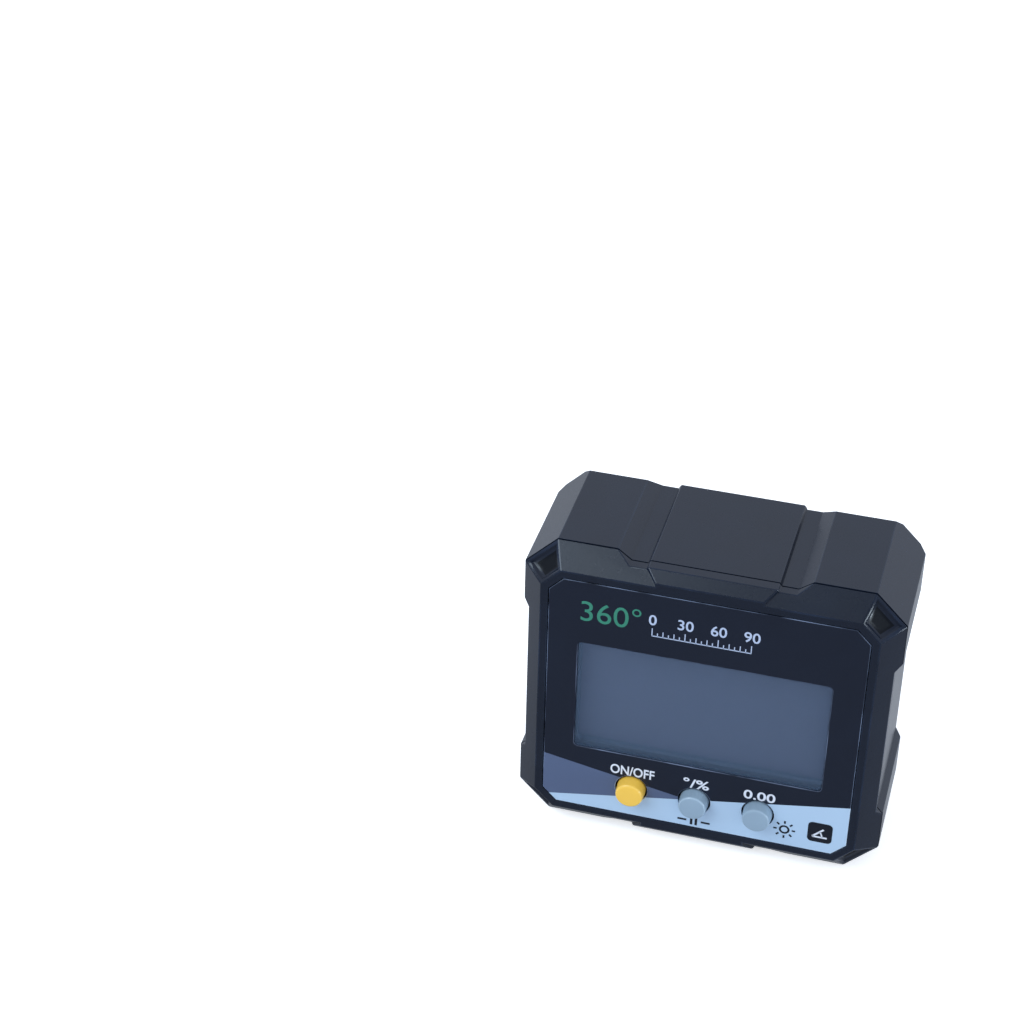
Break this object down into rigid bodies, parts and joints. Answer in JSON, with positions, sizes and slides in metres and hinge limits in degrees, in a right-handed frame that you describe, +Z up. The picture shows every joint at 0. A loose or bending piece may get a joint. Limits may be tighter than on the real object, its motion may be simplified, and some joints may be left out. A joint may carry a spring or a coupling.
{
  "type": "digital angle gauge",
  "caption": "Pocket digital angle gauge: a black plastic case with chamfered corners, a magnetic base, a clear display window, push buttons on the face and a hinged battery door behind.",
  "frame": {"origin": "middle of the footprint, on the base pads", "axes": "+Z up, the face looks along -Y, +X to the right as seen from the front"},
  "size_m": [0.065, 0.03, 0.059],
  "materials": {
    "housing_plastic": "fine moulded texture",
    "panel_print": "satin printed film",
    "window_clear": "polished",
    "lcd_grey": "satin polariser",
    "guide_white": "smooth",
    "seal_rubber": "matt",
    "board_green": "solder mask",
    "chip_black": "moulded",
    "led_white": "smooth",
    "button_yellow": "satin",
    "button_grey": "satin",
    "plunger_plastic": "moulded",
    "screw_steel": "zinc plated",
    "magnet_nickel": "nickel plated",
    "cell_shell": "plain sleeve",
    "contact_spring": "nickel plated"
  },
  "bodies": {
    "case": {"front_cover": "housing_plastic", "face_panel": "panel_print", "display_lens": "window_clear", "lcd_glass": "lcd_grey", "light_guide": "guide_white", "upper_contact_strip": "seal_rubber", "lower_contact_strip": "seal_rubber", "circuit_board": "board_green", "controller_chip": "chip_black", "tilt_sensor": "chip_black", "backlight_led": "led_white", "power_switch": "chip_black", "unit_switch": "chip_black", "zero_switch": "chip_black", "board_screws": "screw_steel", "rear_housing": "housing_plastic", "housing_gasket": "seal_rubber", "case_screws": "screw_steel", "base_magnets": "magnet_nickel", "upper_cell": "cell_shell", "lower_cell": "cell_shell", "positive_contact": "contact_spring", "negative_contact": "contact_spring", "bridge_contact": "contact_spring", "door_gasket": "seal_rubber"},
    "power_button": {"power_button": "button_yellow", "power_plunger": "plunger_plastic"},
    "unit_button": {"unit_button": "button_grey", "unit_plunger": "plunger_plastic"},
    "zero_button": {"zero_button": "button_grey", "zero_plunger": "plunger_plastic"},
    "battery_door": {"battery_door": "housing_plastic"}
  },
  "joints": [
    {"name": "power_button_press", "type": "slide", "parent": "case", "child": "power_button", "axis": [0, 1, 0], "range_m": [0, 0.0006], "stiffness_N_per_m": 800},
    {"name": "unit_button_press", "type": "slide", "parent": "case", "child": "unit_button", "axis": [0, 1, 0], "range_m": [0, 0.0006], "stiffness_N_per_m": 800},
    {"name": "zero_button_press", "type": "slide", "parent": "case", "child": "zero_button", "axis": [0, 1, 0], "range_m": [0, 0.0006], "stiffness_N_per_m": 800},
    {"name": "battery_door_hinge", "type": "hinge", "parent": "case", "child": "battery_door", "pos_m": [0, 0.01365, 0.0442], "axis": [1, 0, 0], "range_deg": [0, 45]}
  ]
}
